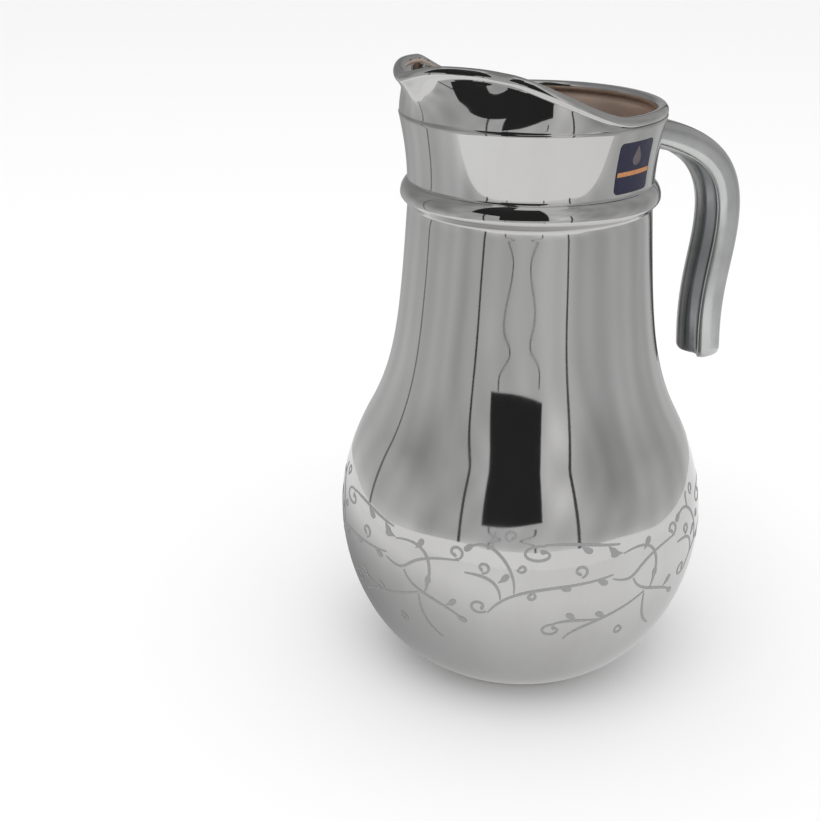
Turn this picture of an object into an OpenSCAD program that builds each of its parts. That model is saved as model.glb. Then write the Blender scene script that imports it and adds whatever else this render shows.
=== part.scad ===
// Mirror-silvered glass water jug, in millimetres at real size.
// A round bulb runs up through a slim neck and a raised bead to a flared collar. Above the collar
// a hood rises to a pouring lip, and a channelled strap handle hangs from the collar, its lower
// end free. +Z is up, the foot stands on Z = 0, the lip points along -X and the handle along +X.

/* [Bulb and neck] */
// Radius of the flat foot
foot_r = 38; // [35:0.5:41]
// Widest radius of the bulb
bulb_r = 72; // [69:0.5:76]
// Height of the widest line of the bulb
bulb_z = 62; // [58:1:66]
// Radius at the top of the neck, just under the bead
neck_r = 45.4; // [44:0.2:46.4]
// Height of the top of the neck
neck_z = 187; // [184:1:190]

/* [Bead and collar] */
// How far the bead stands out from the neck
bead_out = 2.7; // [1.5:0.1:3.2]
// Height of the bead from its lower edge to its upper edge
bead_h = 9.4; // [8:0.2:12]
// Height of the collar from the bead to the crease
collar_h = 24.6; // [22:0.2:27]
// Outer radius at the crease, where the collar ends and the hood starts
crease_r = 48.7; // [47.8:0.1:50]

/* [Hood and lip] */
// Radius of the rounded rim
rim_bead = 2; // [1.8:0.1:2.4]
// Radius of the mouth at the centre of the rounded rim
rim_r = 46.7; // [46:0.1:48]
// Height of the low rim above the crease, at its centre
rim_low = 1.6; // [1.6:0.1:3]
// How much higher the rim stands on the lip side
hood_rise = 13.6; // [8:0.2:17]
// How much more the hood crowns towards its middle
hood_crown = 3.6; // [0:0.2:5]
// How far the rim dips at the tip of the lip
lip_dip = 3.2; // [0:0.1:4]
// Angle from the lip at which the rim starts to fall
fall_start = 45; // [36:1:50]
// Angle from the lip at which the rim is low
fall_end = 103; // [88:1:110]
// How far the pouring lip reaches past the mouth
lip_reach = 6.9; // [4:0.1:9]
// Half angle of the pouring lip
lip_angle = 16.4; // [12:0.2:18]
// How far the hood pinches in beside the lip
pinch = 5; // [0:0.1:6]
// How much lower the rim stands beside the lip on the +Y side
side_dip = 1.3; // [0:0.1:2]

/* [Glass and coat] */
// Thickness of the glass wall
wall = 3; // [2.6:0.1:3.4]
// Thickness of the glass floor
floor_t = 7; // [5:0.5:9]
// Thickness given to the silver coat
coat_t = 0.25; // [0.2:0.01:0.3]

/* [Handle] */
// Width of the handle strap
strap_w = 18.6; // [16:0.2:21]
// Thickness of the strap where it leaves the collar
strap_root = 11; // [10:0.2:13]
// Thickness of the strap along the grip
strap_t = 14; // [12:0.2:15]
// Depth of the channel along the inner face
channel = 4.2; // [1:0.1:4.6]
// Distance from the jug's axis to the middle of the strap at its widest
grip_r = 92.8; // [88:0.2:98]
// Height of the free lower end
free_end_z = 111; // [104:1:118]

/* [Decoration] */
// Number of vine sprays around the bulb
sprays = 5; // [4:1:5]
// Width of a vine stem
stem_w = 1.2; // [0.9:0.1:1.3]
// Direction of the label from +X, in degrees
label_angle = -73.5; // [-85:0.5:-60]
// Width of the label
label_w = 18.5; // [16:0.5:20]
// Height of the label
label_h = 18; // [15:0.5:18.5]

/* [Hidden] */
$fn = 96;

// Heights that the driving dimensions give
bead_z = neck_z + 0.45 * bead_h;
collar_z = neck_z + bead_h;
crease_z = collar_z + collar_h;
low_rim_z = crease_z + rim_low;
// How gently the bead swells out of the neck and the collar
bead_ease = 0.2 * bead_h;
// Radius of the collar where it meets the bead
collar_r = neck_r + 0.1;

// Steps along each curve of the profile, round the hood, and along each half of the handle
curve_steps = 10;
hood_steps = 72;
handle_steps = 15;
// Sides of the handle's section
section_steps = 20;

// Angles over which the hood crowns and the rim dips at the lip
crown_angle = 52;
dip_angle = 9.5;
// Where the hood pinches in, where it stands lower on the +Y side, and over which angles
pinch_place = 34.5;
pinch_angle = 16;
side_place = 45;
side_angle = 9;
// How far the hood's foot is buried in the collar, and its ledge in from the crease
hood_bury = 1.7;
ledge = 0.25;
// The wall runs up to this share of the rounded rim's radius below the rim's centre
rim_seat = 0.6;
// Overlap that joins the hood's coat to the collar's coat
coat_lap = 0.2;
// The coat stops this far above the foot
coat_low = 1;
// The vines and the label are this thick
vine_t = 0.12;
sticker_t = 0.15;
ink_t = 0.06;

// ---- curves ---------------------------------------------------------------------------------

// A cubic Bezier curve from a to d, without its last point
function curve(a, b, c, d, steps = curve_steps) = [
    for (i = [0 : steps - 1])
        let (t = i / steps, s = 1 - t)
            s * s * s * a + 3 * s * s * t * b + 3 * s * t * t * c + t * t * t * d
];

// A smooth step from 0 to 1 as t goes from 0 to 1
function ease(t) = let (u = min(1, max(0, t))) u * u * (3 - 2 * u);

// A bell curve of height 1 and half width w
function bell(x, w) = exp(-pow(x / w, 2));

// The same with a flat top and steeper sides
function plateau(x, w) = exp(-pow(x / w, 4));

// A path moved outwards by d along its own normal, for a path that climbs
function grown(path, d) = [
    for (i = [0 : len(path) - 1])
        let (
            a = path[max(0, i - 1)],
            b = path[min(len(path) - 1, i + 1)],
            along = (b - a) / norm(b - a)
        )
            path[i] + d * [along[1], -along[0]]
];

function backwards(list) = [for (i = [len(list) - 1 : -1 : 0]) list[i]];

// ---- profile of the vessel, as [radius, height] ---------------------------------------------

// The bend half way down the shoulder, where the profile turns from convex to concave
bend = [neck_r + 0.58 * (bulb_r - neck_r), bulb_z + 0.33 * (neck_z - bulb_z)];

function outer_profile() = concat(
    curve([foot_r, 0], [bulb_r - 13, 8.4], [bulb_r, 0.59 * bulb_z], [bulb_r, bulb_z], 14),
    curve([bulb_r, bulb_z], [bulb_r, bulb_z + 20], bend + [2.9, -5.5], bend),
    curve(bend, bend + [-11, 20.6], [neck_r + 2.9, neck_z - 44], [neck_r, neck_z]),
    curve([neck_r, neck_z], [neck_r, neck_z + bead_ease], [neck_r + bead_out, bead_z - bead_ease],
        [neck_r + bead_out, bead_z], 6),
    curve([neck_r + bead_out, bead_z], [neck_r + bead_out, bead_z + 1.6 * bead_ease],
        [collar_r + 0.8, collar_z - 0.3 * bead_ease], [collar_r, collar_z], 6),
    curve([collar_r, collar_z], [collar_r, collar_z + 8], [crease_r - 1.7, crease_z - 7.5],
        [crease_r, crease_z], 6),
    [[crease_r, crease_z]]
);

inner_neck = neck_r - wall;
inner_bulb = bulb_r - wall;

function inner_profile() = concat(
    curve([0, floor_t], [0.66 * inner_bulb, floor_t], [inner_bulb, 0.57 * bulb_z],
        [inner_bulb, bulb_z], 14),
    curve([inner_bulb, bulb_z], [inner_bulb, bulb_z + 20], bend + [2.9 - wall, -6.5],
        bend - [wall, 1]),
    curve(bend - [wall, 1], bend + [-11 - wall, 19.6], [inner_neck + 2.9, neck_z - 44],
        [inner_neck, neck_z]),
    curve([inner_neck, neck_z], [inner_neck - 0.3, neck_z + 12], [crease_r - wall - 1.7,
        crease_z - 10], [crease_r - wall, crease_z]),
    [[crease_r - wall, crease_z]]
);

// The solid that the outer profile turns into, grown by d and cut off at the crease
module turned_form(d) {
    path = [for (p = grown(outer_profile(), d)) if (p[1] > 0.2) p];
    rotate_extrude() polygon(concat([[0, path[0][1]]], path, [[0, path[len(path) - 1][1]]]));
}

// A skin on the vessel from d to d + t above the glass, between two heights. It stands just proud
// of the crease, where the hood's coat laps over it.
module turned_skin(d, t, low, high) {
    profile = concat(outer_profile(), [[crease_r, crease_z + 0.06]]);
    inside = [for (p = grown(profile, d)) if (p[1] > low && p[1] < high) p];
    outside = [for (p = grown(profile, d + t)) if (p[1] > low && p[1] < high) p];
    rotate_extrude() polygon(concat(inside, backwards(outside)));
}

// ---- hood -----------------------------------------------------------------------------------

// Height and radius of the rim's centre at an angle from the lip
function rim_height(a) = low_rim_z
    + hood_rise * (1 - ease((abs(a) - fall_start) / (fall_end - fall_start)))
    + hood_crown * bell(a, crown_angle) - lip_dip * bell(a, dip_angle)
    - side_dip * bell(a + side_place, side_angle);
function rim_radius(a) = rim_r + lip_reach * bell(a, lip_angle)
    - pinch * bell(abs(a) - pinch_place, pinch_angle);

// The hood wall at a fraction t of its height, on the side given by half (+1 outside, -1 inside)
function hood_wall(a, t, half) =
    let (middle = crease_r - wall / 2, thick = wall / 2 - ledge * (1 - t))
        [middle + (rim_radius(a) - middle) * t * t + half * thick,
            crease_z + (rim_height(a) - rim_seat * rim_bead - crease_z) * t];

// The rounded rim at an angle from straight out
function rim_point(a, turn, grow) =
    [rim_radius(a) + (rim_bead + grow) * cos(turn), rim_height(a) + (rim_bead + grow) * sin(turn)];

wall_steps = [0, 0.3, 0.6, 0.9];
rim_turns = [for (turn = [-30 : 30 : 211]) turn];
coat_turns = [for (turn = [-30 : 30 : 151]) turn];

function hood_section(a) = concat(
    [[crease_r - 1.4, crease_z - hood_bury]],
    [for (t = wall_steps) hood_wall(a, t, 1)],
    [for (turn = rim_turns) rim_point(a, turn, 0)],
    [for (t = backwards(wall_steps)) hood_wall(a, t, -1)],
    [[crease_r - 2.4, crease_z - hood_bury]]
);

function hood_coat_section(a) = concat(
    [[crease_r + 0.15, crease_z - coat_lap], [crease_r + 0.15, crease_z + 0.12],
        hood_wall(a, 0, 1) + [coat_t, 0.18]],
    [for (t = [0.3, 0.6, 0.9]) hood_wall(a, t, 1) + [coat_t, 0]],
    [for (turn = coat_turns) rim_point(a, turn, coat_t)],
    [for (turn = backwards(coat_turns)) rim_point(a, turn, 0)],
    [for (t = backwards(wall_steps)) hood_wall(a, t, 1)],
    [[crease_r + 0.07, crease_z], [crease_r + 0.07, crease_z - coat_lap]]
);

// A closed ring from a list of sections, each a list of [radius, height] at its own angle
module ring(sections) {
    count = len(sections);
    sides = len(sections[0]);
    points = [
        for (i = [0 : count - 1], p = sections[i])
            let (a = 360 * i / count) [-p[0] * cos(a), -p[0] * sin(a), p[1]]
    ];
    faces = [
        for (i = [0 : count - 1], j = [0 : sides - 1])
            let (n = (i + 1) % count, k = (j + 1) % sides)
                each [
                    [i * sides + j, n * sides + k, n * sides + j],
                    [i * sides + j, i * sides + k, n * sides + k]
                ]
    ];
    polyhedron(points, faces);
}

// Angle from the lip of each step round the hood, from -180 to 180
function hood_angle(i) = let (a = 360 * i / hood_steps) a > 180 ? a - 360 : a;

module hood() {
    ring([for (i = [0 : hood_steps - 1]) hood_section(hood_angle(i))]);
}

module hood_coat() {
    ring([for (i = [0 : hood_steps - 1]) hood_coat_section(hood_angle(i))]);
}

// ---- handle ---------------------------------------------------------------------------------

// Middle line of the strap, in the plane of the lip and the handle
root = [collar_r - 2, crease_z - 10];
grip = [grip_r, crease_z - 50];
end_length = 6;
tip = [grip_r - 4.3, free_end_z + end_length];
strap_line = concat(
    curve(root, root + [36, -7], grip + [0, 22], grip, handle_steps),
    curve(grip, grip - [0, 17], tip + [-2.2, 26], tip, handle_steps),
    [for (share = [0.3, 0.6, 0.85, 1]) tip + [0.2, -end_length] * share]
);

// The strap closes to a blunt round end over this share of its length, down to this share of its
// width, and the power sets how blunt the end is
end_share = 0.1;
end_least = 0.35;
end_power = 2.4;
// The channel starts at this share of the strap's length and is this wide across the strap
channel_start = 0.06;
channel_wide = 0.6;

function strap_fade(s) = s < 1 - end_share ? 1
    : max(end_least, pow(1 - pow((s - 1 + end_share) / end_share, end_power), 1 / end_power));

// A point of the section: x across the strap, y towards the jug
function strap_point(s, turn, grow) =
    let (
        fade = strap_fade(s),
        half_w = (strap_w / 2 + 2 * bell(s, 0.08)) * fade + grow,
        half_t = (strap_root + (strap_t - strap_root) * ease(s / 0.4)) / 2 * fade + grow,
        c = cos(turn),
        d = sin(turn),
        across = half_w * sign(c) * pow(abs(c), 0.75),
        inward = half_t * sign(d) * pow(abs(d), 0.75),
        cut = d > 0 ? channel * fade * ease((s - channel_start) / 0.2)
            * plateau(across / half_w, channel_wide) : 0
    )
        [across, inward - cut];

function strap_ring(i, grow) =
    let (
        last = len(strap_line) - 1,
        before = strap_line[max(0, i - 1)],
        after = strap_line[min(last, i + 1)],
        along = (after - before) / norm(after - before),
        centre = strap_line[i] + (i == last ? grow : 0) * along
    )
        [
            for (j = [0 : section_steps - 1])
                let (p = strap_point(i / last, 360 * j / section_steps, grow))
                    [centre[0] + along[1] * p[1], p[0], centre[1] - along[0] * p[1]]
        ];

// The faces between rings of points, from the first ring to the last
function tube_faces(rings, sides, first, flip) = [
    for (i = [0 : rings - 2], j = [0 : sides - 1])
        let (
            k = (j + 1) % sides,
            a = first + i * sides + j,
            b = first + i * sides + k,
            c = a + sides,
            d = b + sides
        )
            each (flip ? [[a, b, d], [a, d, c]] : [[a, d, b], [a, c, d]])
];

function ring_face(first, sides, flip) = [
    for (j = [0 : sides - 1]) first + (flip ? sides - 1 - j : j)
];

strap_rings = len(strap_line);

// The solid strap
module strap(grow = 0) {
    points = [for (i = [0 : strap_rings - 1]) each strap_ring(i, grow)];
    faces = concat(
        tube_faces(strap_rings, section_steps, 0, true),
        [ring_face(0, section_steps, true)],
        [ring_face((strap_rings - 1) * section_steps, section_steps, false)]
    );
    polyhedron(points, faces);
}

// A closed skin round the strap and over its free end, open at the root
module strap_skin() {
    outer = [for (i = [0 : strap_rings - 1]) each strap_ring(i, coat_t)];
    inner = [for (i = [0 : strap_rings - 1]) each strap_ring(i, 0)];
    half = len(outer);
    root_faces = [
        for (j = [0 : section_steps - 1])
            let (k = (j + 1) % section_steps)
                each [[j, half + k, k], [j, half + j, half + k]]
    ];
    faces = concat(
        tube_faces(strap_rings, section_steps, 0, true),
        [ring_face(half - section_steps, section_steps, false)],
        tube_faces(strap_rings, section_steps, half, false),
        [ring_face(2 * half - section_steps, section_steps, true)],
        root_faces
    );
    polyhedron(concat(outer, inner), faces);
}

// ---- vines ----------------------------------------------------------------------------------

// Radius of the silver coat at a height on the bulb
bulb_table = [for (p = grown(outer_profile(), coat_t)) if (p[1] < neck_z) [p[1], p[0]]];

// A point on the coat from a distance round the bulb and a height, lifted by d
function on_bulb(p, d) =
    let (a = p[0] / bulb_r * 180 / PI, r = lookup(p[1], bulb_table) + d)
        [r * cos(a), r * sin(a), p[1]];

// A flat ribbon along a list of [distance, height], w wide in the middle and thinner at its ends
module ribbon(path, w) {
    last = len(path) - 1;
    points = [
        for (i = [0 : last])
            let (
                a = path[max(0, i - 1)],
                b = path[min(last, i + 1)],
                side = [a[1] - b[1], b[0] - a[0]] / norm(b - a),
                half = w / 2 * (0.35 + 0.65 * sin(180 * i / last))
            )
                each [
                    on_bulb(path[i] - half * side, 0), on_bulb(path[i] + half * side, 0),
                    on_bulb(path[i] + half * side, vine_t), on_bulb(path[i] - half * side, vine_t)
                ]
    ];
    faces = concat(
        tube_faces(last + 1, 4, 0, false),
        [ring_face(0, 4, false)],
        [ring_face(4 * last, 4, true)]
    );
    polyhedron(points, faces);
}

// A stem along a Bezier curve through four control points
function stem(a, b, c, d) = concat(curve(a, b, c, d, 7), [d]);

// A curl winds in until this share of its size is gone
curl_close = 0.74;

// A curl that winds in from its outer end. turns is negative for a curl that winds clockwise, and
// stretch makes it wider than it is tall.
function curl(centre, size, from, turns, stretch = 1) = [
    for (i = [0 : 9])
        let (t = i / 9, angle = from + 360 * turns * t)
            centre + size * (1 - curl_close * pow(t, 1.6)) * [stretch * cos(angle), sin(angle)]
];

// A leaf, from its foot in a direction
function leaf(foot, turn, size = 5) = [
    for (i = [0 : 3]) foot + size * i / 3 * [cos(turn + 10 * i), sin(turn + 10 * i)]
];

// One spray of strokes, as distances round the bulb and heights, drawn clear of each other
spray_span = 2 * PI * bulb_r / sprays;
spray_start = 5.4;
leaf_w = 2.1 * stem_w;

module spray(x0) {
    k = spray_span / 90;
    function at(x, z) = [x0 + k * x, z];
    // Each stem: start, two points that pull it, and end
    for (c = [
            [[10, 52.2], [18, 65.5], [36, 61.5], [56, 65]],
            [[57.6, 61.8], [70, 58.5], [62, 69.5], [87, 71.2]],
            [[61, 72.4], [66, 74.6], [70, 72.6], [72.3, 70.9]],
            [[75, 67.6], [77, 63], [76.8, 58.5], [74.8, 55.2]],
            [[66, 59.4], [68.5, 52.5], [80, 54.5], [91, 45.5]],
            [[38.4, 39.4], [41, 45], [57, 46], [69.6, 51.6]],
            [[50, 47.8], [44, 47.1], [39, 48.6], [34.4, 47.8]],
            [[72, 49.4], [71.8, 43], [75, 38], [80.4, 34.7]],
            [[59, 76.4], [50, 77.2], [42, 80], [31.4, 80.2]],
            [[1.5, 76.4], [9.5, 83.5], [20, 71], [18.8, 61.6]],
            [[11.6, 83.4], [10.2, 82], [10.6, 80.6], [11, 79]],
            [[0.6, 67], [7, 67], [13.6, 66.2], [14, 59.4]]
        ])
        ribbon(stem(at(c[0][0], c[0][1]), at(c[1][0], c[1][1]), at(c[2][0], c[2][1]),
            at(c[3][0], c[3][1])), stem_w);
    // Each curl: middle, size, where it starts, turns and stretch
    for (c = [
            [[6.2, 53.6], 2.8, -45, -1, 1.2], [[86.4, 75.4], 2.5, -80, 1, 1.1],
            [[33.4, 43.9], 2.6, 80, 1, 1.5], [[28, 76], 3, 75, 1, 2],
            [[62.7, 38.4], 2.1, 100, 1, 1], [[17.4, 82.4], 2, -100, -1, 1.2],
            [[7.4, 71.4], 2.1, -100, 1, 1.1], [[43, 69.8], 2.4, -80, 1, 1.1]
        ])
        ribbon(curl(at(c[0][0], c[0][1]), c[1], c[2], c[3], c[4]), stem_w);
    // Each leaf: foot and direction
    for (c = [
            [84, 52, 25], [42, 49, 125], [54, 48.8, 130], [44, 76.8, -45], [55, 75.4, -60],
            [36, 62, -30], [23, 66.8, 35], [27, 60, -40]
        ])
        ribbon(leaf(at(c[0], c[1]), c[2]), leaf_w);
}

// ---- label ----------------------------------------------------------------------------------

label_z = (collar_z + crease_z) / 2 - 1.3;
// Corner radius of the label, and the bar and the drop printed on it
label_corner = 1.6;
bar_h = 1.6;
bar_drop = 2;
drop_r = 2.3;
drop_lift = 2.9;

// Outline of a rectangle with rounded corners
function rounded_outline(w, h, r) = [
    for (corner = [0 : 3], step = [0 : 4])
        let (
            turn = 90 * corner + 22.5 * step,
            x = (corner == 0 || corner == 3 ? 1 : -1) * (w / 2 - r),
            y = (corner < 2 ? 1 : -1) * (h / 2 - r)
        )
            [x + r * cos(turn), y + r * sin(turn)]
];

// Outline of a plain drop, point up
function drop_outline(size) = concat(
    [for (turn = [-210 : 20 : 30]) size * [cos(turn), sin(turn)]],
    [[0, 2.1 * size]]
);

// Turns a flat outline so that it cuts through the collar in the label's direction
module at_label() {
    rotate([0, 0, label_angle]) translate([0, 0, label_z]) rotate([90, 0, 90])
        linear_extrude(height = 2 * crease_r) children();
}

module label_patch(d, t) {
    intersection() {
        turned_skin(d, t, collar_z + 0.2, crease_z - 0.2);
        at_label() children();
    }
}

// ---- sub-parts ------------------------------------------------------------------------------

module vessel_glass() {
    color([0.55, 0.47, 0.42]) {
        union() {
            rotate_extrude() polygon(concat([[0, 0]], outer_profile(), backwards(inner_profile())));
            hood();
        }
    }
}

module vessel_silver_coat() {
    color([0.80, 0.80, 0.80]) {
        union() {
            difference() {
                turned_skin(0, coat_t, coat_low, crease_z + 1);
                strap();
            }
            hood_coat();
        }
    }
}

module handle_glass() {
    color([0.66, 0.70, 0.68]) {
        difference() {
            strap();
            turned_form(0);
        }
    }
}

module handle_silver_coat() {
    color([0.74, 0.75, 0.74]) {
        difference() {
            strap_skin();
            turned_form(coat_t);
        }
    }
}

module vine_etching() {
    color([0.62, 0.62, 0.61]) {
        for (i = [0 : sprays - 1])
            spray(spray_start + i * spray_span);
    }
}

module label_sticker() {
    color([0.10, 0.11, 0.24]) {
        label_patch(coat_t, sticker_t) polygon(rounded_outline(label_w, label_h, label_corner));
    }
}

module label_print() {
    color([0.80, 0.45, 0.18]) {
        label_patch(coat_t + sticker_t, ink_t) translate([0, -bar_drop])
            square([label_w - 1, bar_h], center = true);
        label_patch(coat_t + sticker_t, ink_t) translate([0, drop_lift])
            polygon(drop_outline(drop_r));
    }
}

vessel_glass();
vessel_silver_coat();
handle_glass();
handle_silver_coat();
vine_etching();
label_sticker();
label_print();
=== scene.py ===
"""A mirror-silvered glass water jug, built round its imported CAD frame. Metres, +Z up, lip along -X."""

import math

import bpy
import numpy as np
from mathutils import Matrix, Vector


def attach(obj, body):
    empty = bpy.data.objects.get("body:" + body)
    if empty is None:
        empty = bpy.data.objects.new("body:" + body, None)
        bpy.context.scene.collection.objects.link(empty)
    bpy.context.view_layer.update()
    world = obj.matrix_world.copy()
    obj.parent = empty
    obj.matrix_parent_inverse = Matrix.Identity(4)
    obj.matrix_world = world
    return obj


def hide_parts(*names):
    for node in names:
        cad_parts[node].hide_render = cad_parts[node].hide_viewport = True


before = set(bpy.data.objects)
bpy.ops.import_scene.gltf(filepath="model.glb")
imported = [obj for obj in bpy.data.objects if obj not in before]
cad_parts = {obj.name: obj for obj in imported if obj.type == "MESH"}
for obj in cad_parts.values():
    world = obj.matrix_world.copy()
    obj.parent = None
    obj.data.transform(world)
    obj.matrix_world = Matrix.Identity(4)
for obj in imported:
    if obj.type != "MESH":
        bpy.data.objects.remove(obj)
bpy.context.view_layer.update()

MM = 0.001
scene = bpy.context.scene


# ---- camera ----------------------------------------------------------------------------------

def make_camera():
    """A camera at the photo's viewing angle: 29 degrees round from +Y, looking 22.7 degrees down."""
    turn, pitch = math.radians(29.0), math.radians(22.73)
    data = bpy.data.cameras.new("camera")
    data.sensor_width = 36.0
    data.lens = 58.1
    data.clip_start = 0.01
    camera = bpy.data.objects.new("camera", data)
    scene.collection.objects.link(camera)
    camera.location = (-0.2755, -0.4050, 0.3066)
    ahead = Vector((
        math.sin(turn) * math.cos(pitch),
        math.cos(turn) * math.cos(pitch),
        -math.sin(pitch),
    ))
    camera.rotation_euler = ahead.to_track_quat("-Z", "Y").to_euler()
    scene.camera = camera


make_camera()


# ---- driving dimensions, in millimetres, as in the CAD model ---------------------------------

FOOT_R = 38.0
BULB_R = 72.0
BULB_Z = 62.0
NECK_R = 45.4
NECK_Z = 187.0
BEAD_OUT = 2.7
BEAD_H = 9.4
COLLAR_H = 24.6
CREASE_R = 48.7
RIM_BEAD = 2.0
RIM_R = 46.7
RIM_LOW = 1.6
HOOD_RISE = 13.6
HOOD_CROWN = 3.6
CROWN_ANGLE = 52.0
LIP_DIP = 3.2
DIP_ANGLE = 9.5
FALL_START = 45.0
FALL_END = 103.0
LIP_REACH = 6.9
LIP_ANGLE = 16.4
PINCH = 5.0
PINCH_PLACE = 34.5
PINCH_ANGLE = 16.0
SIDE_DIP = 1.3
SIDE_PLACE = 45.0
SIDE_ANGLE = 9.0
WALL = 3.0
FLOOR = 7.0
COAT = 0.25
# How far below the crease the inside turns brighter, from painted shade below to painted light above, and
# over what height on both sides
BRIGHT_DEPTH = 6.0
BRIGHT_BLEND = 7.0

BEAD_Z = NECK_Z + 0.45 * BEAD_H
COLLAR_Z = NECK_Z + BEAD_H
COLLAR_R = NECK_R + 0.1
CREASE_Z = COLLAR_Z + COLLAR_H
LOW_RIM_Z = CREASE_Z + RIM_LOW
BEAD_EASE = 0.2 * BEAD_H
RIM_SEAT = 0.6
# How much thinner each side of the hood's wall is where it stands on the crease
CREASE_STEP = 0.25
BEND = (NECK_R + 0.58 * (BULB_R - NECK_R), BULB_Z + 0.33 * (NECK_Z - BULB_Z))

STRAP_W = 18.6
STRAP_ROOT = 11.0
STRAP_T = 14.0
CHANNEL = 4.2
# Half the width of the painted shade in the strap's channel, and over what width it fades
CHANNEL_HALF = 4.6
CHANNEL_BLEND = 1.4
# Where the channel starts and over what stretch it deepens, as shares of the strap's length
CHANNEL_START = 0.06
CHANNEL_RISE = 0.2
# Its width, as a share of the strap's
CHANNEL_WIDE = 0.6
GRIP_R = 92.8
FREE_END_Z = 111.0
END_LENGTH = 6.0


# ---- curves ----------------------------------------------------------------------------------

def curve(a, b, c, d, steps):
    """Points along a cubic Bezier curve, without its last point."""
    t = (np.arange(steps) / steps)[:, None]
    a, b, c, d = (np.array(p, float) for p in (a, b, c, d))
    return (1 - t) ** 3 * a + 3 * (1 - t) ** 2 * t * b + 3 * (1 - t) * t * t * c + t ** 3 * d


def ease(t):
    """A smooth step from 0 to 1."""
    u = np.clip(t, 0.0, 1.0)
    return u * u * (3 - 2 * u)


def bell(x, width):
    return np.exp(-(x / width) ** 2)


def plateau(x, width):
    """A bell with a flat top and steeper sides."""
    return np.exp(-(x / width) ** 4)


def grown(path, distance):
    """A path that climbs, moved outwards along its own normal."""
    along = np.gradient(path, axis=0)
    along /= np.linalg.norm(along, axis=1)[:, None]
    return path + distance * np.stack([along[:, 1], -along[:, 0]], -1)


def outer_profile():
    """Outside of the glass from the foot to the crease, as (radius, height)."""
    bend = np.array(BEND)
    top = NECK_R + BEAD_OUT
    return np.vstack([
        curve((FOOT_R, 0), (BULB_R - 13, 8.4), (BULB_R, 0.59 * BULB_Z), (BULB_R, BULB_Z), 48),
        curve((BULB_R, BULB_Z), (BULB_R, BULB_Z + 20), bend + (2.9, -5.5), bend, 32),
        curve(bend, bend + (-11, 20.6), (NECK_R + 2.9, NECK_Z - 44), (NECK_R, NECK_Z), 44),
        curve((NECK_R, NECK_Z), (NECK_R, NECK_Z + BEAD_EASE), (top, BEAD_Z - BEAD_EASE),
              (top, BEAD_Z), 14),
        curve((top, BEAD_Z), (top, BEAD_Z + 1.6 * BEAD_EASE),
              (COLLAR_R + 0.8, COLLAR_Z - 0.3 * BEAD_EASE), (COLLAR_R, COLLAR_Z), 14),
        curve((COLLAR_R, COLLAR_Z), (COLLAR_R, COLLAR_Z + 8), (CREASE_R - 1.7, CREASE_Z - 7.5),
              (CREASE_R, CREASE_Z), 20),
        [(CREASE_R, CREASE_Z)],
    ])


def inner_profile():
    """Inside of the glass from the middle of the floor to the crease."""
    bend = np.array(BEND) - (WALL, 1.0)
    bulb, neck, top = BULB_R - WALL, NECK_R - WALL, CREASE_R - WALL
    return np.vstack([
        curve((0.0, FLOOR), (0.66 * bulb, FLOOR), (bulb, 0.57 * BULB_Z), (bulb, BULB_Z), 40),
        curve((bulb, BULB_Z), (bulb, BULB_Z + 20), bend + (2.9, -5.5), bend, 20),
        curve(bend, bend + (-11, 20.6), (neck + 2.9, NECK_Z - 44), (neck, NECK_Z), 24),
        curve((neck, NECK_Z), (neck - 0.3, NECK_Z + 12), (top - 1.7, CREASE_Z - 10),
              (top, CREASE_Z), 16),
    ])


def rim_height(a):
    """Height of the rim at an angle from the lip, with a dip at the lip and a small one on +Y."""
    fall = ease((np.abs(a) - FALL_START) / (FALL_END - FALL_START))
    crown = HOOD_CROWN * bell(a, CROWN_ANGLE)
    dips = LIP_DIP * bell(a, DIP_ANGLE) + SIDE_DIP * bell(a + SIDE_PLACE, SIDE_ANGLE)
    return LOW_RIM_Z + HOOD_RISE * (1 - fall) + crown - dips


def rim_radius(a):
    """Radius of the rim at an angle from the lip, which reaches out between two pinches."""
    reach = LIP_REACH * bell(a, LIP_ANGLE)
    return RIM_R + reach - PINCH * bell(np.abs(a) - PINCH_PLACE, PINCH_ANGLE)


def hood_wall(a, t, half, grow=0.0):
    """The hood's wall at a fraction t of its height; half is +1 outside and -1 inside."""
    middle = CREASE_R - WALL / 2
    thick = WALL / 2 - CREASE_STEP * (1 - t)
    radius = middle + (rim_radius(a) - middle) * t * t + half * (thick + grow)
    return radius, CREASE_Z + (rim_height(a) - RIM_SEAT * RIM_BEAD - CREASE_Z) * t


def rim_point(a, turn, grow=0.0):
    """The rounded rim, at an angle from straight out."""
    r = RIM_BEAD + grow
    return rim_radius(a) + r * math.cos(turn), rim_height(a) + r * math.sin(turn)


# ---- mesh helpers ----------------------------------------------------------------------------

def new_object(name, verts, faces, material, smooth=True):
    mesh = bpy.data.meshes.new(name)
    mesh.from_pydata([tuple(v) for v in verts], [], faces)
    mesh.validate()
    mesh.update()
    if smooth:
        mesh.shade_smooth()
    mesh.materials.append(material)
    obj = bpy.data.objects.new(name, mesh)
    scene.collection.objects.link(obj)
    return obj


def grid_faces(rows, columns, first=0, wrap_rows=False, wrap_columns=True, flip=False):
    """Quads between neighbouring points of a grid, whose points run along each row."""
    faces = []
    for i in range(rows if wrap_rows else rows - 1):
        for j in range(columns if wrap_columns else columns - 1):
            n, k = (i + 1) % rows, (j + 1) % columns
            quad = [i * columns + j, i * columns + k, n * columns + k, n * columns + j]
            quad = [first + q for q in quad]
            faces.append(quad[::-1] if flip else quad)
    return faces


ROUND_STEPS = 256


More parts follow.
